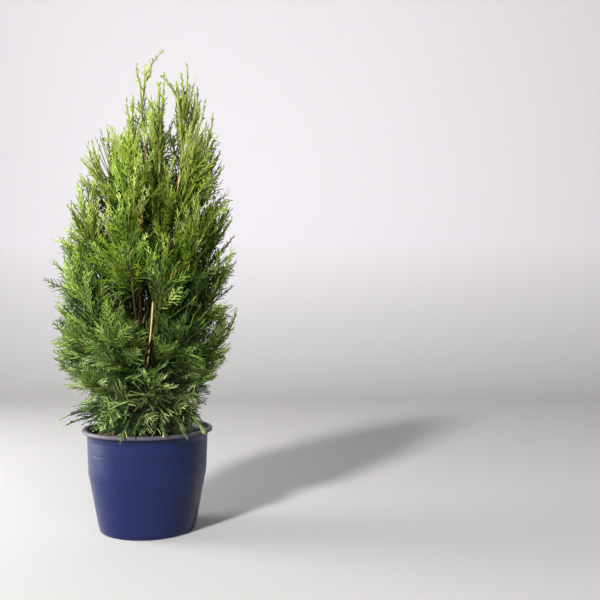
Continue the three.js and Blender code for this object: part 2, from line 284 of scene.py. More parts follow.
def addLight(name, sizes):
    data = bpy.data.lights.new(name, "AREA")
    data.shape = "DISK"
    data.size = sizes["size"] * mm
    data.energy = sizes["watts"]
    light = linked(name, data)
    light.location = Vector(sizes["place"]) * mm
    way = Vector(studio["aim"]) * mm - light.location
    light.rotation_euler = way.to_track_quat("-Z", "Y").to_euler()


# A sheet that lies flat and rises in a smooth bend behind the plant, in metres.
def sweptFloor():
    front, back, side, top, bend = -4.0, 1.6, 6.0, 5.0, 1.0
    profile = [(front, 0.0), *arc(back, bend, bend, -90, 0, 12), (back + bend, top)]
    places = [(x, y, z) for y, z in profile for x in (-side, side)]
    faces = [(2 * i, 2 * i + 1, 2 * i + 3, 2 * i + 2) for i in range(len(profile) - 1)]
    return places, faces


def addStudio():
    world = bpy.data.worlds.new("studio")
    world.use_nodes = True
    sky = Nodes(world.node_tree)
    where = sky.add("ShaderNodeTexCoord", take="Generated")
    across = sky.add("ShaderNodeSeparateXYZ", {"Vector": where}, take="X")
    back = sky.tree.nodes["Background"].inputs
    sky.join(sky.range(across, -1, 1, *studio["sky"]), back["Strength"])
    sky.join(studio["skyColour"], back["Color"])
    bpy.context.scene.world = world
    bpy.context.scene.view_settings.view_transform = "Standard"
    for name, sizes in studio["lights"].items():
        addLight(name, sizes)
    floor = meshObject("floor", *sweptFloor())
    paper = Shader("studio paper", roughness=0.9)
    risen = paper.range(paper.height(), 0, studio["wallFrom"] * mm)
    paper.colour(paper.mix(risen, studio["floorColour"], studio["wallColour"]))
    floor.data.materials.append(paper.material)


# Pot: a thin moulded wall with a rolled lip, a fine groove and holes underneath

pot = {
    "height": 150,
    "lipRadius": 95,
    "lipHeight": 5.5,
    "lipRound": 2.4,
    "fillet": 1.6,  # under the lip
    "collarRadius": 88.5,  # under the lip
    "waistHeight": 87,
    "waistRadius": 86,
    "heelRadius": 70,
    "heelRound": 4,
    "grooveHeight": 117,
    "grooveDepth": 0.12,
    "wall": 1.6,
    "segments": 160,
    "drainHoles": 8,
    "drainRadius": 5.5,
    "drainRing": 50,
    "blue": (0.003, 0.007, 0.046),
    "dust": (0.062, 0.056, 0.066),
}


def wallRadius(height):
    if height >= pot["waistHeight"]:
        share = (height - pot["waistHeight"]) / (pot["height"] - pot["waistHeight"])
        return lerp(pot["waistRadius"], pot["collarRadius"], share)
    return lerp(pot["heelRadius"], pot["waistRadius"], height / pot["waistHeight"])


def potProfile():
    top, wall, heel = pot["height"], pot["wall"], pot["heelRound"]
    groove, fillet, lip = pot["grooveHeight"], pot["fillet"], pot["lipRound"]
    under = top - pot["lipHeight"]
    profile = [(0, 0), (pot["heelRadius"] - heel - 6, 0)]
    profile += arc(pot["heelRadius"] - heel, heel, heel, -90, -8, 6)
    profile += [(wallRadius(z), z) for z in (*range(10, 86, 8), 86, 88, 92, 100, 108, groove - 2.2)]
    for step in range(7):
        height = groove - 1.5 + step * 0.5
        dip = pot["grooveDepth"] * math.sin(math.pi * step / 6)
        profile.append((wallRadius(height) - dip, height))
    profile += [(wallRadius(z), z) for z in (groove + 2.2, 126, 134, under - fillet)]
    profile += arc(wallRadius(under) + fillet, under - fillet, fillet, 180, 90, 4)
    profile += arc(pot["lipRadius"] - fillet, under + fillet, fillet, -90, 0, 4)
    profile += arc(pot["lipRadius"] - lip, top - lip, lip, 0, 90, 5)
    profile += arc(pot["collarRadius"] + 1.8, top - 2.0, 2.0, 90, 170, 5)  # the lip's inner edge
    profile += [(wallRadius(z) - wall, z) for z in (130, 110, 88, 86, 60, 30, 12, heel + wall)]
    return profile + [(pot["heelRadius"] - heel - 1, wall), (0, wall)]


# Places and faces of a profile of (radius, height) in mm turned round Z, with its poles closed.
def turned(profile, segments):
    places, rings, faces = [], [], []
    for radius, height in profile:
        count = segments if radius > 1e-6 else 1
        rings.append((len(places), count))
        for i in range(count):
            turn = 2 * math.pi * i / segments
            places.append((radius * math.cos(turn) * mm, radius * math.sin(turn) * mm, height * mm))
    for (low, lowCount), (high, highCount) in zip(rings, rings[1:]):
        for i in range(segments):
            after = (i + 1) % segments
            if lowCount == 1:
                faces.append((low, high + after, high + i))
            elif highCount == 1:
                faces.append((low + i, low + after, high))
            else:
                faces.append((low + i, low + after, high + after, high + i))
    return places, faces


def potPlastic():
    look = Shader("satin blue plastic", roughness=0.33, specular=0.29)
    where = look.place()
    height = look.height()
    blue = pot["blue"]
    blotch = look.noiseAt(where, 38)
    nearLip = look.range(height, (pot["height"] - pot["lipHeight"] - 0.6) * mm, (pot["height"] - 4.4) * mm)
    dusty = look.calc("MULTIPLY", nearLip, look.range(blotch, 0.25, 0.6, 0.72, 1.0))
    base = look.mix(look.range(blotch, 0.3, 0.75), blue, toned(blue, 1.18))
    # painted shade: the blue darkens along the groove's line
    fromGroove = look.calc("ABSOLUTE", look.calc("SUBTRACT", height, pot["grooveHeight"] * mm))
    base = look.mix(look.range(fromGroove, 0.0003, 0.0016, 0.45, 0.0), base, toned(blue, 0.3))
    look.colour(look.mix(dusty, base, pot["dust"]))
    rough = look.range(look.noiseAt(where, 30), 0.3, 0.7, 0.25, 0.31)
    look.join(look.mix(dusty, rough, (0.5, 0.5, 0.5)), look.surface["Roughness"])
    look.bump(look.noiseAt(where, 25, 1), 0.00004, 0.1)
    return look.material


def makePot():
    shell = meshObject("potShell", *turned(potProfile(), pot["segments"]))
    radius = pot["drainRadius"]
    drill, sides = turned([(0, -5), (radius, -5), (radius, 8), (0, 8)], 24)
    places, faces = [], []
    for hole in range(pot["drainHoles"]):
        turn = 2 * math.pi * (hole + 0.5) / pot["drainHoles"]
        middle = Vector((math.cos(turn), math.sin(turn), 0)) * pot["drainRing"] * mm
        faces += [[len(places) + corner for corner in side] for side in sides]
        places += [middle + Vector(p) for p in drill]
    drills = meshObject("drills", places, faces)
    cut = shell.modifiers.new("drain holes", "BOOLEAN")
    cut.object = drills
    cut.operation = "DIFFERENCE"
    cut.solver = "EXACT"
    data = evaluatedMesh(shell)
    remove(shell)
    remove(drills)
    whole = linked("potShell", data)
    data.materials.clear()
    data.materials.append(potPlastic())
    data.shade_smooth()
    finishPiece(whole, ["pot"])
    print("pot:", len(data.polygons), "faces")


# Potting mix, with bark chips scattered over it

soil = {
    "edgeHeight": 133,
    "gap": 0.35,  # between the mix and the wall
    "mound": 4,
    "moundRadius": 84,
    "lump": 1.5,
    "heap": (-48, -42, 30, 8.5),  # its place, how wide and how high
    "rings": 60,
    "segments": 150,
    "brown": (0.030, 0.021, 0.016),
    "light": (0.085, 0.052, 0.034),
}
soilTop = soil["edgeHeight"] + soil["mound"]
chips = {  # density is for each square metre, tilt in radians
    "chipsRed": {"size": (13, 6.5, 2.6), "density": 5200, "tilt": 0.45, "seed": 11,
                 "colour": (0.115, 0.047, 0.027)},
    "chipsDark": {"size": (10, 5.5, 2.4), "density": 6760, "tilt": 0.6, "seed": 23,
                  "colour": (0.045, 0.027, 0.018)},
    "crumbs": {"size": (3.4, 2.6, 2.0), "density": 26000, "tilt": 1.2, "seed": 31,
               "colour": (0.036, 0.023, 0.016)},
}


# Lumps and heap fade out at the middle, where all segments meet.
def soilHeight(x, y):
    radius = math.hypot(x, y)
    share = min(1, radius / soil["moundRadius"])
    rough = noise.fractal(Vector((x, y, 3.7)) * 0.09, 0.8, 2.1, 5)
    heapX, heapY, wide, tall = soil["heap"]
    heap = tall * math.exp(-((x - heapX) ** 2 + (y - heapY) ** 2) / (2 * wide ** 2)) * min(1, radius / 30)
    return soilTop - soil["mound"] * share ** 2 + soil["lump"] * rough * min(1, radius / 6) + heap


def grainyLook(name, roughness, grain, stops, bump):
    look = Shader(name, roughness=roughness)
    fine = look.noiseAt(look.place(), *grain)
    look.colour(look.ramp(fine, *stops))
    look.bump(fine, *bump)
    return look.material


def makeSoil():
    inset = pot["wall"] + soil["gap"]
    edge = wallRadius(soil["edgeHeight"]) - pot["wall"] - soil["gap"]
    profile = [(0, inset), (pot["heelRadius"] - pot["heelRound"] - 3, inset)]
    profile += [(wallRadius(z) - pot["wall"] - soil["gap"], z) for z in (12, 40, 87, 120)]
    profile += [(edge * (1 - i / soil["rings"]), soilTop) for i in range(soil["rings"] + 1)]
    places, faces = turned(profile, soil["segments"])
    lifted = []
    for x, y, z in places:
        onTop = z > (soilTop - 0.01) * mm
        lifted.append((x, y, soilHeight(x / mm, y / mm) * mm if onTop else z))
    mix = meshObject("pottingMix", lifted, faces)
    stops = ((0.32, toned(soil["brown"], 0.45)), (0.55, soil["brown"]), (0.75, soil["light"]))
    mix.data.materials.append(grainyLook("dark potting mix", 0.95, (420, 6, 0.7), stops, (0.0018, 0.9)))
    finishPiece(mix, ["soil"])
    return mix


# A few rough slabs of bark.
def chipShapes(name, sizes, seed):
    group = newGroup(name)
    rng = np.random.default_rng(seed)
    for number in range(5):
        length, width, thick = np.array(sizes) * rng.uniform(0.7, 1.3, 3) * mm / 2
        places = []
        for end in (-1, -0.35, 0.4, 1):
            slim = 0.55 if abs(end) == 1 else 1.0
            for y, z in ((-1, -0.6), (-0.6, 0.9), (0.5, 1.0), (1, -0.4)):
                wobble = rng.uniform(0.75, 1.25, 3)
                places.append((end * length * wobble[0], y * width * slim * wobble[1], z * thick * wobble[2]))
        faces = [(3, 2, 1, 0), (12, 13, 14, 15)]
        for low in (0, 4, 8):
            faces += [(low + i, low + (i + 1) % 4, low + 4 + (i + 1) % 4, low + 4 + i) for i in range(4)]
        moveInto(group, meshObject(f"{name}{number}", places, faces, smooth=False))
    return group


def scatterTree():
    made = Shapes("scatter on soil", {
        "Shapes": "Collection", "Density": "Float", "Tilt": "Float", "Seed": "Int", "Material": "Material"})
    entry = made.entry
    normal = made.add("GeometryNodeInputNormal")
    facing = made.add("ShaderNodeSeparateXYZ", {"Vector": normal}, take="Z")
    upwards = made.add("FunctionNodeCompare", {"A": facing, "B": 0.6}, operation="GREATER_THAN")
    points = made.add("GeometryNodeDistributePointsOnFaces", {
        "Mesh": entry["Geometry"], "Selection": upwards, "Density": entry["Density"], "Seed": entry["Seed"]})
    tilt = entry["Tilt"]
    low = made.calc("MULTIPLY", tilt, -1.0)
    least = made.add("ShaderNodeCombineXYZ", {"X": low, "Y": low, "Z": 0.0})
    most = made.add("ShaderNodeCombineXYZ", {"X": tilt, "Y": tilt, "Z": 6.283})
    turn = made.add("FunctionNodeRandomValue", {"Min": least, "Max": most, "Seed": entry["Seed"]},
                    data_type="FLOAT_VECTOR")
    size = made.add("FunctionNodeRandomValue", {2: 0.55, 3: 1.25, "Seed": 7}, take=1, data_type="FLOAT")
    made.setShapes(points, turn, size, {})
    return made


def makeChips(mix):
    tree = scatterTree()
    for name, chip in chips.items():
        group = chipShapes(f"{name}Shape", chip["size"], chip["seed"])
        colour = chip["colour"]
        stops = ((0.3, toned(colour, 0.5)), (0.52, colour), (0.72, toned(colour, 1.7)))
        piece = tree.grow(name, mix, {
            "Shapes": group, "Density": chip["density"], "Tilt": chip["tilt"], "Seed": chip["seed"],
            "Material": grainyLook(f"{name} bark", 0.88, (260, 4, 0.65), stops, (0.0008, 0.7))})
        keepInPot(piece)
        finishPiece(piece, [])
        removeGroup(group)
        print(name + ":", len(piece.data.polygons), "faces")


# Pulls the corners of chips that touch the pot's wall a little inwards.
def keepInPot(piece):
    places = np.empty(len(piece.data.vertices) * 3)
    piece.data.vertices.foreach_get("co", places)
    places = places.reshape(-1, 3)
    limit = (wallRadius(soil["edgeHeight"]) - pot["wall"] - 0.6) * mm
    radius = np.hypot(places[:, 0], places[:, 1])
    over = radius > limit
    places[over, :2] *= (limit / radius[over])[:, None]
    piece.data.vertices.foreach_set("co", places.ravel())
    piece.data.update()


# Limbs: the same curves as the solids follow

trunk = {
    "footX": -12.5,
    "lean": 9,
    "sway": 4,
    "top": 566,
    "flareRadius": 8.5,
    "flareHeight": 14,
    "footRadius": 5.2,
    "topRadius": 1.5,
}
crown = {
    "top": 709,
    "axisFoot": -10,
    "axisLean": 45,
    "widestHeight": 335,
    "widestRadius": 130,
    "shoulder": 2.2,
    "point": 0.85,
    "skirtShare": 0.25,
}
tierFields = ("name", "count", "from", "to", "turn", "out", "lift", "bough", "roll")
tiers = [dict(zip(tierFields, row)) for row in (
    ("skirt", 7, 160, 184, 12, 0.6, 0.8, 0, 10),
    ("low", 7, 178, 246, 38, 0.8, 0.34, 0, 25),
    ("lower", 7, 203, 326, 7, 0.84, 0.32, 0, 25),
    ("middle", 6, 232, 412, 58, 0.86, 0.36, 0, 25),
    ("upper", 6, 262, 496, 28, 0.84, 0.42, 0.34, 20),
    ("high", 5, 322, 584, 36, 0.86, 0.5, 0.38, 15),
)]
leaders = [
    {"name": "front", "from": 152, "bend": (26, -52, 330), "tip": (24, -30, 667), "bough": 0.42},
    {"name": "right", "from": 296, "bend": (58, -2, 460), "tip": (57, 2, 691), "bough": 0.48},
    {"name": "left", "from": 380, "bend": (-34, 22, 530), "tip": (-17, 14, 690), "bough": 0.46, "until": 0.8},
    {"name": "top", "from": 566, "bend": (-22, 3, 655), "tip": (22, 0, 705), "bough": 0},
]
forks = {  # finer limbs: what they fork off, how far along it, their tip, and their bend if it isn't usual
    "shoots": [
        ("right", 0.58, (74, -4, 652)),
        ("right", 0.50, (96, 8, 617)),
        ("right", 0.80, (24, -14, 668), (0.3, 0.3, 0.55)),
        ("right", 0.64, (84, -8, 632)),
        ("right", 0.70, (46, -10, 655)),
        ("right", 0.72, (68, 8, 645)),
        ("left", 0.60, (-27, 12, 646)),
        ("left", 0.66, (-31, -4, 634)),
        ("right", 0.82, (53, -4, 674)),
        ("right", 0.46, (88, -14, 598)),
        ("front", 0.82, (20, -26, 654)),
        ("front", 0.78, (22, -34, 650)),
        ("front", 0.76, (12, -22, 634)),
        ("top", 0.66, (6, -6, 687)),
        ("top", 0.50, (-18, 4, 690)),
        ("top", 0.64, (-6, 5, 682)),
        ("high_3", 0.55, (-84, -20, 566)),
        ("high_3", 0.62, (-76, -25, 568)),
    ],
    "twigs": [
        ("middle_3", 0.70, (-115, -6, 440)),
        ("middle_3", 0.62, (-110, -24, 420)),
        ("lower_4", 0.64, (-117, -4, 362)),
        ("lower_4", 0.58, (-112, -24, 350)),
        ("upper_4", 0.66, (-93, -10, 516)),
        ("upper_4", 0.56, (-84, -22, 512)),
        ("upper_4", 0.50, (-93, -14, 474)),
    ],
}
forkBend = (0.8, 0.8, 0.42)  # share of the way to the tip, in X, Y and Z
jitter = {"height": 9, "turn": 6, "reach": 0.04}
stagger = {"stems": 24, "boughs": 40}
limb = {
    "boughRadius": 3.4,
    "leaderRadius": 1.8,
    "shareOfTrunk": 0.78,
    "boughTip": 1.4,
    "stemRadius": 1.9,
    "shootRadius": 1.4,
    "tipRadius": 0.7,
    "leaderTip": 1.4,
    "boughTaper": 0.4,  # under 1, a bough thins out soon after its foot
    "overlap": 0.01,  # share of its curve by which wood runs on into what follows
}


# Numbers from 0 to 1 in the same order as the solids were grown with.
def randomFrom(seed):
    state = [seed]

    def draw():
        state[0] = state[0] * 16807 % 2147483647
        return state[0] / 2147483647

    return draw


def trunkAt(height):
    share = (height - soilTop) / (trunk["top"] - soilTop)
    x = trunk["footX"] + trunk["lean"] * share ** 3
    return np.array([x, trunk["sway"] * math.sin(math.pi * share), height])


def trunkRadius(height):
    share = (height - soilTop) / (trunk["top"] - soilTop)
    flare = math.exp(-(height - soilTop) / trunk["flareHeight"])
    plain = lerp(trunk["footRadius"], trunk["topRadius"], share)
    return plain + (trunk["flareRadius"] - trunk["footRadius"]) * flare


def crownAxis(height):
    share = (height - pot["height"]) / (crown["top"] - pot["height"])
    return crown["axisFoot"] + crown["axisLean"] * share ** 2


def crownRadius(height):
    if height < crown["widestHeight"]:
        below = (crown["widestHeight"] - height) / (crown["widestHeight"] - pot["height"])
        return crown["widestRadius"] * (1 - crown["skirtShare"] * below ** 2)
    above = min(1, (height - crown["widestHeight"]) / (crown["top"] - crown["widestHeight"]))
    return crown["widestRadius"] * (1 - above ** crown["shoulder"]) ** crown["point"]


# How far points are from the crown's axis, and how far off its outline is at their heights.
def crownReach(points):
    heights = points[:, 2]
    away = np.hypot(points[:, 0] - crownAxis(heights), points[:, 1])
    return away, np.array([crownRadius(z) for z in heights])


# A limb's path: from its start, out to its bend and up to its tip.
class Curve:

    def __init__(self, start, bend, tip, name, bough, roll, region, until=1.0):
        self.points = [np.array(p, float) for p in (start, bend, tip)]
        self.name, self.bough, self.roll, self.region = name, bough, roll, region
        run = self.points[2] - self.points[0]
        self.aside = np.array([-run[1], run[0], 0.0]) / math.hypot(run[0], run[1])
        line = np.array([self.at(t) for t in np.linspace(0, 1, 60)])
        self.length = np.linalg.norm(np.diff(line, axis=0), axis=1).sum()
        last = spray["endLength"].get(region, spray["endLength"]["others"])
        self.until = until  # the share of the path that bears foliage
        self.stemEnd = max(0.02, until - last / self.length)  # where the last spray takes over
        onTrunk = limb["shareOfTrunk"] * trunkRadius(self.points[0][2])
        self.radius = min(limb["boughRadius"] if bough else limb["stemRadius"], onTrunk)
        if region in ("leaders", "shoots", "twigs"):
            self.radius = limb["leaderRadius" if bough else "shootRadius"]

    def at(self, t):
        a, b, c = self.points
        return (1 - t) ** 2 * a + 2 * t * (1 - t) * b + t * t * c

    def along(self, t):
        a, b, c = self.points
        return unit(2 * (1 - t) * (b - a) + 2 * t * (c - b))


def tierCurve(tier, number, draw):
    turn = math.radians(tier["turn"] + 360 / tier["count"] * number + (draw() - 0.5) * 2 * jitter["turn"])
    tipHeight = tier["to"] + (draw() - 0.5) * 2 * jitter["height"]
    reach = crownRadius(tipHeight) * (1 + (draw() - 0.5) * 2 * jitter["reach"])
    spread = stagger["boughs"] if tier["bough"] else stagger["stems"]
    start = trunkAt(tier["from"] + spread * ((2 * number) % tier["count"]) / tier["count"])
    tip = np.array([crownAxis(tipHeight) + reach * math.cos(turn), reach * math.sin(turn), tipHeight])
    bend = lerp(start, tip, tier["out"])
    bend[2] = lerp(start[2], tipHeight, tier["lift"])
    return Curve(start, bend, tip, f"{tier['name']}_{number + 1}", tier["bough"], tier["roll"], tier["name"])


def growCurves():
    curves = []
    for leader in leaders:
        curves.append(Curve(trunkAt(leader["from"]), leader["bend"], leader["tip"], leader["name"],
                            leader["bough"], 0, "leaders", leader.get("until", 1.0)))
    for level, tier in enumerate(tiers):
        for number in range(tier["count"]):
            curves.append(tierCurve(tier, number, randomFrom(1009 + 97 * level + 13 * number)))
    limbs = {curve.name: curve for curve in curves}
    for region, rows in forks.items():
        for parent, share, tip, *ownBend in rows:
            start = limbs[parent].at(share)
            bend = lerp(start, np.array(tip, float), np.array(ownBend[0] if ownBend else forkBend))
            curves.append(Curve(start, bend, tip, f"{parent} {region}", 0, 0, region))
    return curves


bark = {
    "step": 2.5,  # between two rings of a limb
    "grain": 900.0,
    "brownShare": 0.45,  # of a stem, from its foot, before it turns green
    "orangeShare": 0.74,  # of a leader
    "upperFrom": (0.33, 0.42),  # heights in metres between which the upper colour comes in
    "shadeUntil": (0.24, 0.31),  # the same for the painted shade at the foot of the leaders, which goes out
    "paintedLightFrom": (0.25, 0.29),  # the same for their tan stretch of painted light, which comes in
    "lowUntil": (0.32, 0.42),  # and goes out
}
woods = {  # sides of the section, relief in metres, and colours
    "trunk": (28, 0.0016, {"light": (0.120, 0.056, 0.032), "dark": (0.040, 0.020, 0.012),
                           "upper": (0.330, 0.150, 0.055)}),
    # the leaders' low colour is painted light, a lit tan stretch on the stems that show from the front
    "leader": (16, 0.0007, {"light": (0.820, 0.420, 0.150), "dark": (0.420, 0.180, 0.065),
                            "low": (0.620, 0.430, 0.200)}),
    "branch": (16, 0.0009, {"light": (0.120, 0.056, 0.032), "dark": (0.040, 0.020, 0.012)}),
    "stem": (9, 0.0003, {"light": (0.115, 0.070, 0.030), "dark": (0.040, 0.025, 0.013)}),
    "green": (7, 0.0002, {"light": (0.120, 0.134, 0.030), "dark": (0.060, 0.062, 0.018)}),
    "topGreen": (7, 0.0002, {"light": (0.270, 0.295, 0.062), "dark": (0.150, 0.165, 0.038)}),
}


# Turns edge paths with a thickness into round limbs with stringy bark standing out of them.
def limbTree():
    made = Shapes("bark limbs", {"Sides": "Int", "Relief": "Float", "Grain": "Float", "Material": "Material"})
    entry = made.entry
    curve = made.add("GeometryNodeMeshToCurve", {"Mesh": entry["Geometry"]})
    thick = made.attribute("thickness", "FLOAT")
    curve = made.add("GeometryNodeSetCurveRadius", {"Curve": curve, "Radius": thick})
    ring = {"Resolution": entry["Sides"], "Radius": 1.0}
    skin = made.add("GeometryNodeCurveToMesh", {
        "Curve": curve, "Profile Curve": made.add("GeometryNodeCurvePrimitiveCircle", ring),
        "Scale": thick, "Fill Caps": True})
    where = made.add("GeometryNodeInputPosition")
    strings = made.add("ShaderNodeVectorMath", {0: where, 1: (1.0, 1.0, 0.1)}, operation="MULTIPLY")
    fibre = made.add("ShaderNodeTexNoise", {"Vector": strings, "Scale": entry["Grain"], "Detail": 3.0})
    height = made.calc("MULTIPLY", made.calc("SUBTRACT", fibre, 0.5), entry["Relief"])
    normal = made.add("GeometryNodeInputNormal")
    push = made.add("ShaderNodeVectorMath", {0: normal, "Scale": height}, operation="SCALE")
    skin = made.add("GeometryNodeSetPosition", {"Geometry": skin, "Offset": push})
    skin = made.add("GeometryNodeSetShadeSmooth", {"Geometry": skin, "Shade Smooth": True})
    made.end(skin)
    return made


# An object of bare edges: each path is a list of points in mm and a list of radii in mm.
def pathSeed(name, paths):
    places, edges, thickness = [], [], []
    for points, radii in paths:
        start = len(places)
        places += [tuple(p * mm) for p in points]
        thickness += [r * mm for r in radii]
        edges += [(start + i, start + i + 1) for i in range(len(points) - 1)]
    data = bpy.data.meshes.new(name)
    data.from_pydata(places, edges, [])
    data.attributes.new("thickness", "FLOAT", "POINT").data.foreach_set("value", thickness)
    return linked(name, data)


def barkLook(name, light, dark, low=None, upper=None):
    look = Shader(name, roughness=0.85, specular=0.25)
    where = look.add("ShaderNodeMapping", {"Vector": look.place(), "Scale": (1, 1, 0.12)})
    fibre = look.noiseAt(where, bark["grain"], 5, 0.65)
    patch = look.noiseAt(look.place(), 35, 2)
    base = look.ramp(fibre, (0.3, dark), (0.55, light), (0.78, toned(light, 1.5)))
    base = look.mix(look.range(patch, 0.35, 0.7, 0.0, 0.45), base, dark)
    height = look.height()
    if upper:
        base = look.mix(look.range(height, *bark["upperFrom"], 0.0, 0.8), base, upper)
    if low:
        # painted shade darkens the leaders' foot, and painted light brings in a tan stretch above it
        base = look.mix(look.range(height, *bark["shadeUntil"], 0.95, 0.0), base, toned(dark, 0.5))
        comesIn = look.range(height, *bark["paintedLightFrom"], 0.0, 0.8)
        litTan = look.calc("MULTIPLY", comesIn, look.range(height, *bark["lowUntil"], 1.0, 0.0))
        base = look.mix(litTan, base, low)
    look.colour(base)
    look.bump(fibre, 0.0006, 0.8)
    return look.material


# One finished piece of round limbs or ribs.
def growRounds(tree, name, paths, sides, relief, material, slot, nodes):
    values = {"Sides": sides, "Relief": relief, "Grain": bark["grain"], "Material": material}
    piece = tree.growPiece(name, pathSeed(f"{name} paths", paths), values, slot, nodes)
    print(name + ":", len(paths), "paths,", len(piece.data.polygons), "faces")


# A stretch of a curve as points and radii.
def curvePath(curve, start, end, first, last, taper=1.0):
    count = max(4, int(curve.length * (end - start) / bark["step"] / 1.4))
    shares = np.linspace(0, 1, count)
    points = [curve.at(lerp(start, end, share)) for share in shares]
    return points, [lerp(first, last, share ** taper) for share in shares]


# The paths of all limbs by kind of bark: brown wood up to a share of the curve, and green beyond.
def limbPaths(curves):
    heights = np.arange(soilTop - 3, trunk["top"] + 8, bark["step"])
    paths = {name: [] for name in woods}
    overlap = limb["overlap"]
    paths["trunk"].append(([trunkAt(z) for z in heights], [trunkRadius(max(z, soilTop)) for z in heights]))
    for curve in curves:
        base = min(limb["boughTip"], 0.9 * curve.radius) if curve.bough else curve.radius
        leader = curve.region == "leaders"
        if curve.bough:
            wood = curvePath(curve, 0, curve.bough + overlap, curve.radius, base, limb["boughTaper"])
            paths["leader" if leader else "branch"].append(wood)
        end = curve.stemEnd + overlap
        slim = limb["leaderTip" if leader else "tipRadius"]
        green = "topGreen" if curve.region in ("leaders", "shoots") else "green"
        if curve.region in ("shoots", "twigs") or curve.name == "top":
            paths[green].append(curvePath(curve, 0, end, base, slim))
            continue
        share = bark["orangeShare" if leader else "brownShare"]
        middle = max(curve.bough, end * share)
        half = lerp(base, slim, share)
        brown = curvePath(curve, curve.bough, middle + overlap, base, half)
        paths["leader" if leader else "stem"].append(brown)
        paths[green].append(curvePath(curve, middle, end, half, slim))
    return paths


def makeLimbs(tree, curves):
    paths = limbPaths(curves)
    nodes = {"trunk": ["trunk"], "leader": [], "branch": []}
    for curve in curves:
        if curve.bough:
            nodes["leader" if curve.region == "leaders" else "branch"].append(f"bough_{curve.name}")
    for name, (sides, relief, colours) in woods.items():
        look = barkLook(f"fibrous {name} bark", **colours)
        growRounds(tree, name + "Bark", paths[name], sides, relief, look, "bark", nodes.get(name, []))


# Foliage: flat sprays along each stem, each a rib with side twigs that carry small lobes

usualHabit = {
    "spacing": 2.5,  # of the sprays along a stem
    "firstAt": 0.08,
    "length": (86, 58),  # of a spray, at the stem's foot and near its tip
    "shortest": 14,  # a spray at the very tip, and it is longer with each mm before the tip
    "growth": 0.62,
    "width": (0.50, 0.42),  # of side twigs, as a share of their spray's length
    "endWidth": 0.42,
    "sideOpen": (34, 29),
    "open": (52, 24),  # angle between a spray and its stem
    "roll": 80,
    "tilt": 0,  # downwards, as a share of a spray's own direction
    "curl": 0.0012,  # how much a rib rises, for each mm squared
}
habits = {
    "skirt": {"shortest": 44, "tilt": -0.42, "curl": -0.0036, "spacing": 3.3, "sideOpen": (46, 42)},
    "low": {"shortest": 22, "tilt": -0.16, "curl": -0.0022, "spacing": 3.5, "sideOpen": (46, 42)},
    "lower": {"curl": -0.0004, "spacing": 2.8, "sideOpen": (42, 38)},
    "middle": {"spacing": 2.7},
    "upper": {"open": (44, 19), "width": (0.46, 0.34), "sideOpen": (31, 25)},
    "high": {"open": (38, 17), "width": (0.40, 0.27), "sideOpen": (32, 25), "spacing": 2.8},
    "leaders": {"shortest": 24, "growth": 0.38, "open": (38, 15), "endWidth": 0.34, "spacing": 3.6,
                "width": (0.46, 0.24), "sideOpen": (38, 24)},
    "shoots": {"shortest": 18, "growth": 0.36, "open": (24, 15), "endWidth": 0.34, "spacing": 4.4,
               "length": (48, 30), "width": (0.28, 0.22), "sideOpen": (28, 24)},
    "twigs": {"spacing": 4.0, "length": (56, 40)},
    "top": {"shortest": 12, "growth": 0.20, "open": (26, 15), "spacing": 5.0},
    "trunk": {"spacing": 4.2, "length": (72, 72), "open": (52, 52), "from": 158, "to": 560, "turn": 137.5},
}
loose = {  # how much sprays and their twigs vary: in degrees, and as factors
    "open": (-9, 9),
    "trunkOpen": (-10, 10),
    "twigOpen": (-8, 8),
    "length": (0.75, 1.12),
    "trunkLength": (0.7, 1.2),
    "twigLength": (0.7, 1.12),
    "twigWidth": (0.92, 1.12),
    "twigPlace": (-0.25, 0.25),  # along the rib, as a share of the way to the next twig
    "growth": (0.8, 1.2),
    "curl": (0.5, 1.5),
}
spray = {
    "endLength": {"leaders": 78, "shoots": 50, "others": 60},
    "crowding": 1.15,  # over 1, sprays stand closer towards the stem's foot
    "endOver": 1.02,  # how much longer the last spray is than its stretch of the curve
    "endLead": 0.3,  # how far it starts out against its own bend
    "shares": (0.07, 0.93),  # of its length: the bare foot, and the rest, which bears side twigs
    "sideSpacing": 4.0,  # between side twigs, which take turns left and right
    "combSpacing": 2.8,  # the same where the twigs stay plain, low down
    "combs": ("skirt", "low", "lower", "trunk", "drapes"),  # where that is
    "stubSpacing": 3.2,  # the same on the cord-like end sprays of the leaders
    "stubShare": 0.66,  # of their side twigs, which stay short and pressed
    "stubLength": (6, 10),
    "stubOpen": (16, 28),
    "twigLength": (6, 38),
    "twigTaper": (0.75, 1.4),  # share of their length that twigs lose towards the tip, and how late
    "twigRise": (0.5, 2.2),  # share of it that they have at the foot, and how soon the rest comes in
    "twigClosing": 8,  # degrees by which they lean closer to the rib at its tip
    "lastTwig": (10.0, 14.0),  # length of the one at the tip, on a comb and on another rib
    "sway": (-0.0015, 0.0015),  # how much a rib bends sideways, for each mm squared
    "scatter": (0.06, 0.45),  # spread of the twigs' directions and of their faces
    "rib": (0.85, 0.65),  # radius at its foot and at its tip
    "lightRib": (0.95, 0.75),
    "cord": (1.85, 1.15),
    "fringe": (1, 10),  # how far twigs may stand out of the crown's outline
    "topFringe": 13,  # the same in addition on the leaders
    "tuck": (17, 250, 70),  # how much less at the foot, below which height, and over which height
    "rimInside": 78,  # radius within which sprays are over the potting mix and not over the rim
    "rimClear": 1.5,
    "soilClear": 3,
    "lowest": 140,
    "levels": (235, 370, 510),  # heights between foot, waist, chest and head, for the tint of a spray
    "blend": 28,  # spread of those heights
    "seed": 20,
}
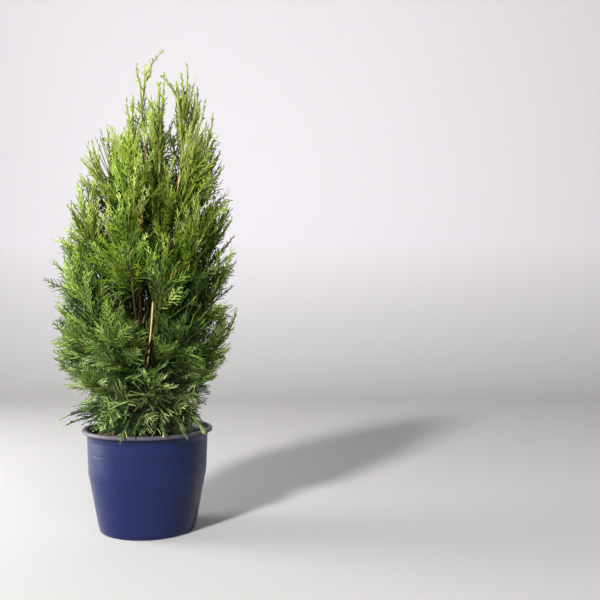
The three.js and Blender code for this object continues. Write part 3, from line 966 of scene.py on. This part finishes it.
drapes = {
    "curl": -0.006,
    "width": 0.40,
    "sideOpen": 32,
    "ends": [  # where each draped spray starts and where it ends
        ((-18, -28, 176), (-22, -94, 150)),
        ((-10, -30, 180), (-9, -99, 148)),
        ((4, -32, 180), (4, -96, 154)),
        ((20, -30, 178), (39, -90, 154)),
        ((30, -24, 180), (61, -80, 149)),
        ((40, -14, 182), (84, -56, 153)),
        ((-58, -8, 170), (-132, -16, 164)),
        ((-60, -16, 168), (-116, -24, 155)),
        ((-42, -36, 172), (-62, -66, 156)),
        ((30, 40, 180), (66, 84, 147)),
        ((-34, 36, 180), (-72, 80, 148)),
        ((0, 44, 180), (4, 108, 147)),
    ],
}
skyGaps = [  # by place and half size, as seen from the front
    (-65, 540, 6, 26), (-48, 617, 9, 14), (-36, 618, 5, 16), (-45, 594, 8, 7), (-117, 447, 7, 12),
    (-142, 290, 13, 10), (-140, 318, 9, 9), (-147, 367, 15, 17), (-112, 200, 12, 6), (4, 657, 7, 20),
    (-18, 648, 6, 16), (32, 628, 8, 20), (28, 604, 5, 14), (-92, 192, 12, 5), (-72, 203, 9, 4),
    (-98, 211, 7, 4), (-80, 246, 6, 4),
]
paintedLightAndShade = [  # painted light and painted shade: sprays made lighter or darker, by place and half size as seen from the front
    (56, 300, 34, 48, -0.24), (12, 375, 26, 40, -0.10), (-36, 375, 26, 42, 0.30), (-34, 449, 26, 40, -0.20),
    (-80, 450, 26, 42, 0.28), (-80, 525, 26, 40, 0.18), (56, 570, 24, 40, 0.12), (-80, 172, 28, 24, -0.28),
]
shownStems = {  # stretches that show from the front: from and to which height, and the room beside them
    "front": (243, 335, 3.2),
    "right": (498, 572, 3.2),
    "trunk": (430, 472, 1.1),
}
greens = {
    "fresh": (0.350, 0.405, 0.088),
    "light": (0.290, 0.378, 0.050),
    "mid": (0.150, 0.232, 0.028),
    # deep and inner go mostly to twigs deep inside the crown, and are partly painted shade
    "deep": (0.049, 0.096, 0.014),
    "inner": (0.011, 0.022, 0.004),
    "rust": (0.180, 0.095, 0.016),
}
# how fresh each twig is, with painted light and painted shade added in
freshnessAndLight = {
    "inside": -0.18,
    "byHeight": 0.54,
    "heights": (150, 690),
    "byReach": 0.50,  # from the crown's axis to its outline and beyond it by some mm; darker deep inside, partly the older twigs' own colour and partly painted shade
    "beyond": 12,
    "byShare": 0.26,  # along the rib
    "foot": 0.34,  # painted light: more on the lowest sprays, which hang out into the light
    "footFade": (1.2, 0.29),  # gone at the product of these, as a share of the heights
    "patchFade": 1.5,  # a patch of painted light and shade is full up to a third of its half size, and gone at its edge
    # painted shade: the draped sprays are made darker
    "drapes": -0.5,
    "spread": (0.13, 0.09),  # from spray to spray, and from twig to twig
    "steps": {"fresh": 0.98, "light": 0.65, "mid": 0.42, "deep": 0.21, "inner": -9},  # least value of each
}
tints = {  # for the light and the dark greens at each height: bluer low down; painted light lifts the dark greens at the foot and the head, and at the head the light greens are toned down, so the top is more even
    "foot": ((0.90, 0.87, 2.60), (1.44, 1.25, 3.10)),
    "waist": ((0.94, 0.94, 1.60), (0.98, 0.98, 1.45)),
    "chest": ((0.96, 0.91, 1.55), (1.02, 1.01, 0.60)),
    "head": ((0.84, 0.81, 1.30), (1.45, 1.35, 0.90)),
}
rust = {"share": 0.03, "length": (10.5, 14)}  # of which twigs turn brown, above the foot
plainShare = {"foot": 0.85, "waist": 0.65, "chest": 0.4, "head": 0.2}  # of the twigs
replaced = {  # the masses that the fronds of each height stand for
    "foot": ("skirt", "low"),
    "waist": ("lower", "middle"),
    "chest": ("upper",),
    "head": ("high", "leaders"),
}
frondKinds = {  # nominal length in mm, with the forks of its two forked and its two plain shapes
    10: (1, 1, 0, 0),
    17: (2, 3, 0, 1),
    27: (4, 5, 1, 2),
    36: (5, 6, 2, 3),
}
frondLimits = [13.0, 21.5, 31.0]  # lengths between those kinds
frond = {
    "ringStep": 4.8,
    "half": 0.90,  # half its width
    "notch": 0.76,  # every second ring is as much slimmer
    "tip": 0.62,
    "taper": 0.15,  # share of its width that it loses before the tip
    "ridge": 0.25,
    "bend": (-0.12, 0.12),  # sideways, as a share of its length
    "rise": (-0.05, 0.05),
    "plainWidth": 0.85,  # of the plain shapes, against the forked ones
    "widthScale": (0.85, 1.15),  # least and most, where a shape is scaled to its twig's length
    "forkFrom": 0.12,  # shares of its length between which forks stand
    "forkOver": 0.72,
    "forkPlace": (0.0, 0.5),  # how far one stands on, as a share of the way to the next
    "forkOpen": (24, 37),
    "forkTurn": (-0.5, 0.5),
    "forkShare": (0.44, 0.24),  # a fork's length as a share of the frond's, at its foot and at its tip
    "forkLength": (4.5, 11),
    "forkVary": (0.75, 1.25),
    "forkDroop": 0.1,
    "forkOutline": ((0, 0.4), (0.4, 0.76), (0.97, 0.55)),  # shares of its length, and half its width there
    "seeds": (40, 5),  # of the shapes, and of which shape and colour each twig gets
}


# Where points come out in the plane of the pot's axis when they are seen from the camera.
def seenAt(points):
    x, y, z = camera["place"]
    nearer = -y / (points[:, 1] - y)
    return x + (points[:, 0] - x) * nearer, z + (points[:, 2] - z) * nearer


# Which points keep to the crown's outline and clear of the pot and the potting mix.
def inCrown(points, free, fringe):
    fromMiddle = np.hypot(points[:, 0], points[:, 1])
    low = points[:, 2] < pot["height"] + spray["rimClear"]
    within = fromMiddle <= spray["rimInside"]
    inside = ~((fromMiddle < pot["lipRadius"] + spray["rimClear"]) & ~within & low)
    inside &= ~(within & (points[:, 2] < soilTop + spray["soilClear"]))
    inside &= points[:, 2] > spray["lowest"]
    if free:
        return inside
    seenX, seenZ = seenAt(points)
    for x, z, width, height in skyGaps:
        inside &= np.hypot((seenX - x) / width, (seenZ - z) / height) > 1
    tuck, below, over = spray["tuck"]
    away, limit = crownReach(points)
    limit = limit + fringe - tuck * np.clip((below - points[:, 2]) / over, 0, 1)
    return inside & (away < limit)


# The shown stretches as places, directions towards the camera and towards the key light, and room.
def shownStretches(curves):
    places, rooms = [], []
    for name, (low, high, room) in shownStems.items():
        line = [trunkAt(z) for z in np.linspace(low, high, 24)]
        for curve in curves:
            if curve.name == name:
                line = [curve.at(t) for t in np.linspace(0, 1, 90) if low < curve.at(t)[2] < high]
        places += line
        rooms += [room] * len(line)
    places = np.array(places)
    views = (camera["place"], studio["lights"]["key"]["place"])
    sights = np.vstack([np.array(view) - places for view in views])
    return np.vstack([places, places]), sights / np.linalg.norm(sights, axis=1)[:, None], rooms + rooms


def hidesStem(points, stretches):
    hides = np.zeros(len(points), bool)
    for spot, sight, room in zip(*stretches):
        off = points - spot
        ahead = off @ sight
        aside = np.linalg.norm(off - np.outer(ahead, sight), axis=1)
        hides |= (ahead > 1.5) & (aside < room)
    return hides


# Directions along a spray and across it, when it stands off its stem by angles in degrees.
def sprayFrame(along, aside, side, opening, roll, tilt):
    opening, roll = math.radians(opening), math.radians(roll)
    up = np.cross(along, aside)
    out = aside * side * math.cos(roll) + up * math.sin(roll)
    ahead = unit(along * math.cos(opening) + out * math.sin(opening) + np.array([0, 0, tilt]))
    over = out * math.cos(opening) - along * math.sin(opening)
    return ahead, unit(over - ahead * (ahead @ over))


# How fresh a twig is by its place alone, with painted light and shade: lighter high up, far out and near its
# rib's tip, painted light on the lowest sprays, painted shade on the drapes, and painted patches of light and
# shade.
def freshnessAndLightAt(places, share, region):
    away, limit = crownReach(places)
    outward = np.clip(away / (limit + freshnessAndLight["beyond"]), 0, 1)
    low, top = freshnessAndLight["heights"]
    high = (places[:, 2] - low) / (top - low)
    # painted light on the lowest sprays
    full, fading = freshnessAndLight["footFade"]
    more = freshnessAndLight["foot"] * np.clip(full - high / fading, 0, 1)
    # painted shade on the draped sprays
    if region == "drapes":
        more += freshnessAndLight["drapes"]
    # painted light and painted shade: patches seen from the front make sprays lighter or darker
    seenX, seenZ = seenAt(places)
    fade = freshnessAndLight["patchFade"]
    for x, z, width, height, lighter in paintedLightAndShade:
        away = np.hypot((seenX - x) / width, (seenZ - z) / height)
        more += lighter * np.clip(fade - fade * away, 0, 1)
    value = freshnessAndLight["byHeight"] * high + freshnessAndLight["byReach"] * outward ** 2 + freshnessAndLight["byShare"] * share
    return value + freshnessAndLight["inside"] + more


# The foliage while it grows. A row is a side twig: root, direction, normal, length, freshness with painted
# light and shade, and place.
class Foliage:

    def __init__(self, stretches):
        self.rng = np.random.default_rng(spray["seed"])
        self.rows = {key: [] for key in ("root", "along", "up", "length", "fresh", "place")}
        self.ribs = {"rib": [], "lightRib": [], "cord": []}
        self.stretches = stretches

    def growOn(self, curve):
        habit = {**usualHabit, **habits.get(curve.region, {}), **habits.get(curve.name, {})}
        start = max(curve.bough, habit["firstAt"])
        count = int((curve.stemEnd - start) * curve.length / habit["spacing"])
        for number in range(count):
            share = number / count
            t = lerp(start, curve.stemEnd, share ** spray["crowding"])
            opening = lerp(*habit["open"], share) + self.rng.uniform(*loose["open"])
            roll = curve.roll + habit["roll"] * self.rng.uniform(-1, 1)
            length = lerp(*habit["length"], share) * self.rng.uniform(*loose["length"])
            growth = habit["growth"] * self.rng.uniform(*loose["growth"])
            length = min(length, habit["shortest"] + growth * (curve.until - t) * curve.length)
            side = 1 if number % 2 else -1
            ways = sprayFrame(curve.along(t), curve.aside, side, opening, roll, habit["tilt"])
            bend = np.array([0, 0, habit["curl"] * self.rng.uniform(*loose["curl"])])
            width, sideOpen = lerp(*habit["width"], share), lerp(*habit["sideOpen"], share)
            self.grow(curve.at(t), ways, length, width, sideOpen, bend, curve.region)
        t = curve.stemEnd
        root = curve.at(t)
        length = (curve.until - t) * curve.length * spray["endOver"]
        ahead = unit(curve.along(t) + spray["endLead"] * (curve.along(t) - curve.along(curve.until)))
        ahead, over = sprayFrame(ahead, curve.aside, 1, 0, curve.roll, 0)
        bend = (curve.at(curve.until) - root - ahead * length) / length ** 2
        kind = "cord" if curve.region in ("leaders", "shoots") else "rib"
        sideOpen = habit["sideOpen"][1]
        self.grow(root, (ahead, over), length, habit["endWidth"], sideOpen, bend, curve.region, kind)

    def growOnTrunk(self):
        habit = {**usualHabit, **habits["trunk"]}
        for number in range(int((habit["to"] - habit["from"]) / habit["spacing"])):
            turn = math.radians(habit["turn"] * number)
            aside = np.array([math.cos(turn), math.sin(turn), 0])
            opening = habit["open"][0] + self.rng.uniform(*loose["trunkOpen"])
            ways = sprayFrame(np.array([0, 0, 1.0]), aside, 1, opening, 0, 0)
            length = habit["length"][0] * self.rng.uniform(*loose["trunkLength"])
            root = trunkAt(habit["from"] + number * habit["spacing"])
            bend = np.array([0, 0, habit["curl"]])
            self.grow(root, ways, length, habit["width"][0], habit["sideOpen"][0], bend, "trunk")

    # Single long sprays that arch over the rim of the pot.
    def growDrapes(self):
        for root, tip in drapes["ends"]:
            root, tip = np.array(root, float), np.array(tip, float)
            length = np.linalg.norm(tip - root)
            bend = np.array([0, 0, drapes["curl"]])
            ahead = unit(tip - root - bend * length ** 2)
            over = unit(np.cross(np.array([0, 0, 1.0]), ahead))
            self.grow(root, (ahead, over), length, drapes["width"], drapes["sideOpen"], bend, "drapes")

    # One spray: its rib bends away from a straight line by the bend times the square of the distance.
    def grow(self, root, frameOf, length, width, sideOpen, bend, region, kind="rib"):
        rng = self.rng
        ahead, over = frameOf
        normal = np.cross(ahead, over)
        cord = kind == "cord"
        comb = region in spray["combs"]
        spacing = spray["stubSpacing" if cord else "combSpacing" if comb else "sideSpacing"]
        bare, bearing = spray["shares"]
        count = max(3, int(length * bearing / spacing))
        slots = np.arange(count) + rng.uniform(*loose["twigPlace"], count)
        s = length * (bare + bearing * slots / count)
        bend = bend + rng.uniform(*spray["sway"]) * over
        places = root + np.outer(s, ahead) + np.outer(s ** 2, bend)
        hand = np.where(np.arange(count) % 2 == 0, 1.0, -1.0)
        share = s / length
        (lost, late), (first, soon) = spray["twigTaper"], spray["twigRise"]
        full = length * width * (1 - lost * share ** late) * np.clip(first + soon * share, 0, 1)
        size = np.clip(full * rng.uniform(*loose["twigLength"], count), *spray["twigLength"])
        angle = sideOpen + rng.uniform(*loose["twigOpen"], count) - spray["twigClosing"] * share
        angle = np.radians(angle)
        stub = cord & (rng.uniform(0, 1, count) < spray["stubShare"])
        size[stub] = rng.uniform(*spray["stubLength"], stub.sum())
        angle[stub] = np.radians(rng.uniform(*spray["stubOpen"], stub.sum()))
        around = rng.uniform(0, 6.28, count) * cord  # twigs stand all round a cord, and flat on a rib
        aside = np.outer(np.cos(around), over) + np.outer(np.sin(around), normal)
        ways = np.outer(np.cos(angle), ahead) + (np.sin(angle) * hand)[:, None] * aside
        wayScatter, faceScatter = spray["scatter"]
        ways += np.outer(2 * s, bend) + rng.normal(0, wayScatter, (count, 3))
        normals = np.cross(ahead, aside) + rng.normal(0, faceScatter, (count, 3))
        places = np.vstack([places, places[-1]])  # one more twig carries the rib on to its tip
        ways = np.vstack([ways, ahead + 2 * bend * length])
        ways /= np.linalg.norm(ways, axis=1)[:, None]
        normals = np.vstack([normals, normal])
        onComb, onRib = spray["lastTwig"]
        size = np.append(size, max(5, length - s[-1]) if cord else onComb if comb else onRib)
        share = np.append(share, 1.0)
        free = cord or region in ("twigs", "drapes")
        fringe = rng.uniform(*spray["fringe"])
        if region in ("leaders", "shoots"):
            fringe += spray["topFringe"]
        keep = inCrown(places + ways * size[:, None], free, fringe) & inCrown(places, free, fringe)
        ofSpray, ofTwig = freshnessAndLight["spread"]
        own = rng.normal(0, ofSpray) + rng.normal(0, ofTwig, len(keep))
        keep &= np.cumsum(hidesStem(places, self.stretches)) == 0  # the rib ends before a shown stem
        if keep.sum() < 2:
            return
        level = places[keep][:, 2].mean() + rng.normal(0, spray["blend"])
        added = {
            "root": places[keep],
            "along": ways[keep],
            "up": normals[keep],
            "length": size[keep],
            "fresh": freshnessAndLightAt(places[keep], share[keep], region) + own[keep],
            "place": np.full(keep.sum(), int(np.digitize(level, spray["levels"]))),  # from foot to head
        }
        for key, values in added.items():
            self.rows[key].append(values)
        end = int(np.nonzero(keep)[0][-1])
        step = max(1, end // 4)
        points = [root] + [places[i] for i in range(step, end + 1, step)]
        kind = "lightRib" if kind == "rib" and region in ("high", "leaders", "shoots") else kind
        self.ribs[kind].append((points, list(np.linspace(*spray[kind], len(points)))))

    # All twigs as arrays, without those that hide the shown stems.
    def twigs(self):
        whole = {key: np.concatenate(value) for key, value in self.rows.items()}
        hidden = np.zeros(len(whole["length"]), bool)
        for reached in (0, 0.25, 0.5, 0.75, 1):
            points = whole["root"] + whole["along"] * whole["length"][:, None] * reached
            hidden |= hidesStem(points, self.stretches)
        return {key: value[~hidden] for key, value in whole.items()}


# One side twig: a thin strip with wavy scaled edges, a low ridge and a few slim forks.
def frondShape(name, length, forkCount, slim, seed):
    rng = np.random.default_rng(seed)
    bendAway = rng.uniform(*frond["bend"])
    rise = rng.uniform(*frond["rise"])

    def spine(share):
        return np.array([length * share, bendAway * length * share ** 2, rise * length * share ** 2])

    rings = max(3, int(length / frond["ringStep"])) + 1
    ridge = frond["ridge"]
    places, faces = [], []
    for ring in range(rings):
        share = ring / (rings - 1)
        half = frond["half"] * slim * (1 - frond["taper"] * share) * (1.0 if ring % 2 else frond["notch"])
        half = frond["tip"] * slim if ring == rings - 1 else half
        middle = spine(share)
        places += [middle + (0, -half, -ridge), middle + (0, 0, ridge), middle + (0, half, -ridge)]
        if ring:
            low, high = 3 * ring - 3, 3 * ring
            faces += [(low, high, high + 1, low + 1), (low + 1, high + 1, high + 2, low + 2)]
    for fork in range(forkCount):
        share = frond["forkFrom"] + frond["forkOver"] * (fork + rng.uniform(*frond["forkPlace"])) / forkCount
        angle = math.radians(rng.uniform(*frond["forkOpen"])) * (1 if fork % 2 else -1)
        way = np.array([math.cos(angle), math.sin(angle), 0.0])
        across = np.array([-way[1], way[0], rng.uniform(*frond["forkTurn"])])
        span = np.clip(length * lerp(*frond["forkShare"], share), *frond["forkLength"])
        span *= rng.uniform(*frond["forkVary"])
        start = spine(share)
        base = len(places)
        for reached, half in frond["forkOutline"]:
            middle = start + way * span * reached - (0, 0, span * frond["forkDroop"] * reached)
            places += [middle + across * half, middle - across * half]
        faces += [(base, base + 1, base + 3, base + 2), (base + 2, base + 3, base + 5, base + 4)]
    return meshObject(name, [np.array(p) * mm for p in places], faces, smooth=False)


# Sets a frond on each point, along one stored direction and facing another.
def frondTree():
    made = Shapes("fronds on points", {"Shapes": "Collection", "Material": "Material"})
    turn = made.add("FunctionNodeAxesToRotation", {
        "Primary Axis": made.attribute("along"), "Secondary Axis": made.attribute("up")},
        primary_axis="X", secondary_axis="Z")
    kind = {"Instance Index": made.attribute("kind", "INT")}
    made.setShapes(made.entry["Geometry"], turn, made.attribute("size"), kind)
    return made


# An object of bare points that carries what the frond tree reads.
def pointSeed(name, twigs, pick, kind, size):
    data = bpy.data.meshes.new(name)
    data.from_pydata([tuple(p) for p in twigs["root"][pick] * mm], [], [])
    for label, values in (("along", twigs["along"]), ("up", twigs["up"]), ("size", size)):
        data.attributes.new(label, "FLOAT_VECTOR", "POINT").data.foreach_set("vector", values[pick].ravel())
    data.attributes.new("kind", "INT", "POINT").data.foreach_set("value", kind[pick])
    return linked(name, data)


def makeFoliage(curves):
    foliage = Foliage(shownStretches(curves))
    for curve in curves:
        foliage.growOn(curve)
    foliage.growOnTrunk()
    foliage.growDrapes()
    twigs = foliage.twigs()
    group = newGroup("frondShapes")
    shapeSeed, twigSeed = frond["seeds"]
    for number, (nominal, forkCounts) in enumerate(frondKinds.items()):
        for version, forkCount in enumerate(forkCounts):
            order = 4 * number + version
            slim = 1.0 if version < 2 else frond["plainWidth"]
            moveInto(group, frondShape(f"frond{order:02}", nominal, forkCount, slim, shapeSeed + order))
    rng = np.random.default_rng(twigSeed)
    length = twigs["length"]
    level = np.digitize(length, frondLimits)
    place = np.array(list(tints))[twigs["place"]]
    plain = rng.uniform(0, 1, len(length)) < np.array([plainShare[p] for p in place])
    kind = 4 * level + 2 * plain + rng.integers(0, 2, len(length))  # four shapes to a length, plain ones last
    scale = length / np.array(list(frondKinds))[level]
    size = np.stack([scale, np.clip(scale, *frond["widthScale"]), np.ones(len(scale))], axis=1)
    size[:, 1] *= rng.uniform(*loose["twigWidth"], len(scale))
    steps = freshnessAndLight["steps"]
    fresher = twigs["fresh"][:, None] >= np.array(list(steps.values()))[None, :]
    shade = np.array(list(steps))[np.argmax(fresher, axis=1)]
    shortest, longest = rust["length"]
    brown = (rng.uniform(0, 1, len(length)) < rust["share"]) & (length > shortest) & (length < longest)
    shade[brown & (place != "foot")] = "rust"
    tree = frondTree()
    total = 0
    for height, (forLight, forDark) in tints.items():
        nodes = [f"plume_{c.name}" for c in curves if c.region in replaced[height]]
        for label, green in greens.items():
            pick = (place == height) & (shade == label)
            if pick.sum() == 0:
                continue
            tint = forLight if label in ("fresh", "light", "rust") else forDark
            colour = [c * t for c, t in zip(green, tint)]
            look = Shader(f"{height} {label} green", colour, specular=0.07)
            seed = pointSeed(f"{height}_{label}_points", twigs, pick, kind, size)
            values = {"Shapes": group, "Material": look.material}
            piece = tree.growPiece(f"fronds_{height}_{label}", seed, values, "foliage", nodes)
            nodes = []
            triangles = sum(len(p.vertices) - 2 for p in piece.data.polygons)
            total += triangles
            print(piece.name, int(pick.sum()), "fronds,", triangles, "triangles")
    removeGroup(group)
    print("foliage:", total, "triangles in all")
    return foliage.ribs


ribColours = {
    "rib": ("sprayRibs", (0.105, 0.135, 0.024)),
    "lightRib": ("topRibs", (0.190, 0.230, 0.042)),
    "cord": ("topCords", (0.275, 0.285, 0.090)),
}


def makeRibs(tree, ribs):
    for kind, (name, colour) in ribColours.items():
        look = Shader(f"{name} green", colour, roughness=0.65, specular=0.10)
        growRounds(tree, name, ribs[kind], 4, 0.0, look.material, "foliage", [])


addCamera()
addStudio()
print("camera and studio done")
makePot()
mix = makeSoil()
makeChips(mix)
curves = growCurves()
tree = limbTree()
makeLimbs(tree, curves)
makeRibs(tree, makeFoliage(curves))
